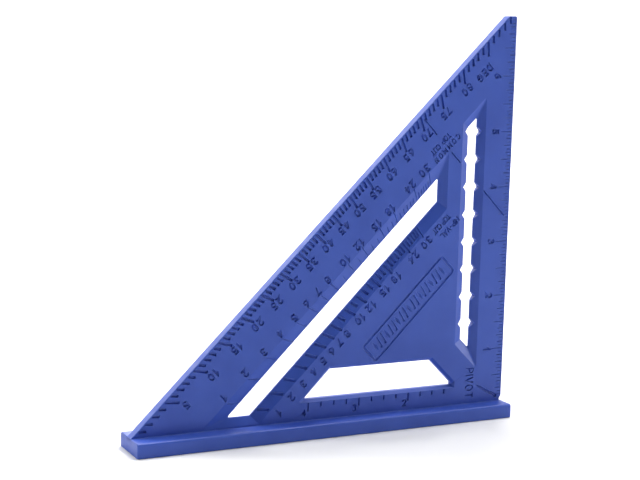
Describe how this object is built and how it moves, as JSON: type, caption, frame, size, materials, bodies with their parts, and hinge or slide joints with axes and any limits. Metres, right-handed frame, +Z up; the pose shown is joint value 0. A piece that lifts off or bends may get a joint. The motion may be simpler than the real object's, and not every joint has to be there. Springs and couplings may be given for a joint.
{
  "type": "speed square",
  "caption": "Right-angled triangular layout square of moulded plastic with a T-shaped fence, bevelled windows and a notched scribe slot.",
  "frame": {"origin": "centre of the fence's underside, on the plane the square stands on", "axes": "+X along the fence towards the pivot corner and the upright rule edge, +Z up from the fence to the tip, -Y out of the front face"},
  "size_m": [0.1838, 0.0216, 0.1859],
  "materials": {
    "blade_plastic": "semi-gloss moulded blue plastic with fine engraved scales",
    "fence_plastic": "semi-gloss moulded blue plastic"
  },
  "bodies": {
    "root": {"blade": "blade_plastic", "fence": "fence_plastic"}
  },
  "joints": []
}
